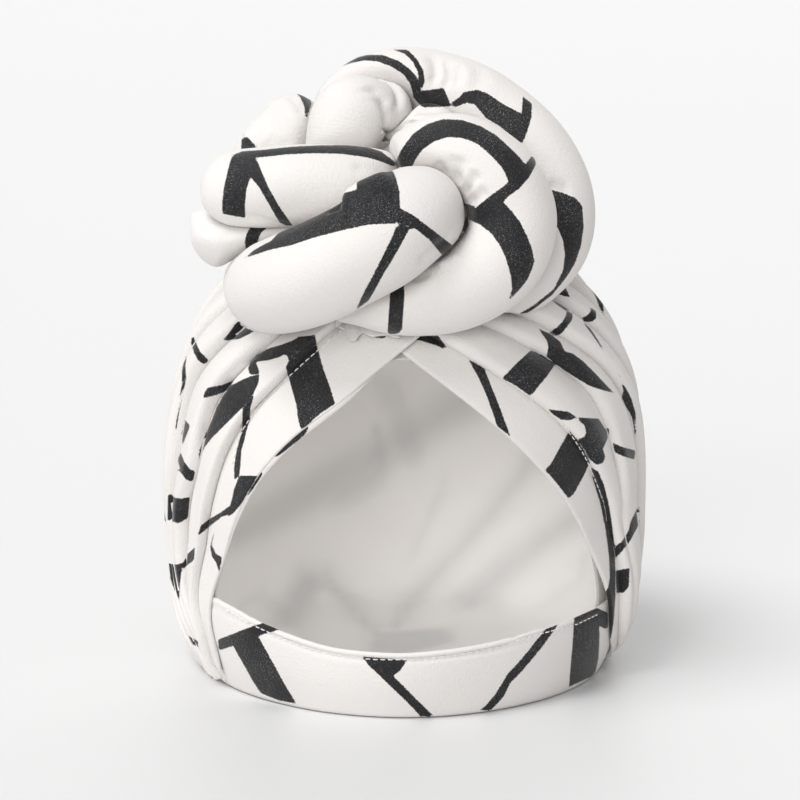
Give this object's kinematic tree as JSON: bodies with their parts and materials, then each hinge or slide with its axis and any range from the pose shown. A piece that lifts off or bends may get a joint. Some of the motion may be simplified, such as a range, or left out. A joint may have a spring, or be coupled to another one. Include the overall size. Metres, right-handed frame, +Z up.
{
  "type": "turban headwrap",
  "caption": "Pre-tied fabric turban: a soft cap with pleated side wraps crossed over the forehead, a nape band and a padded rosette knot on top.",
  "frame": {"origin": "on the surface that the turban stands on, under the middle of the cap", "axes": "+Z up, -Y the side with the head opening, +X the wearer's left when seen from the opening's side as the viewer's right"},
  "size_m": [0.2098, 0.2237, 0.2726],
  "materials": {
    "inner_cap_jersey": "off-white stretch knit, wrong side out, with a faint ghost of the print",
    "band_jersey": "off-white stretch knit with a black angular print",
    "wrap_jersey": "off-white stretch knit with a black angular print, pleated",
    "knot_jersey": "off-white stretch knit with a black angular print, padded into rolls"
  },
  "bodies": {
    "root": {"cap": "inner_cap_jersey", "nape_band": "band_jersey", "wrap_right": "wrap_jersey", "wrap_left": "wrap_jersey", "roll_front": "knot_jersey", "roll_left": "knot_jersey", "roll_right": "knot_jersey", "roll_left_under": "knot_jersey", "roll_upper_left": "knot_jersey", "roll_outer": "knot_jersey", "roll_far_left": "knot_jersey", "roll_heart": "knot_jersey", "roll_back": "knot_jersey"}
  },
  "joints": []
}
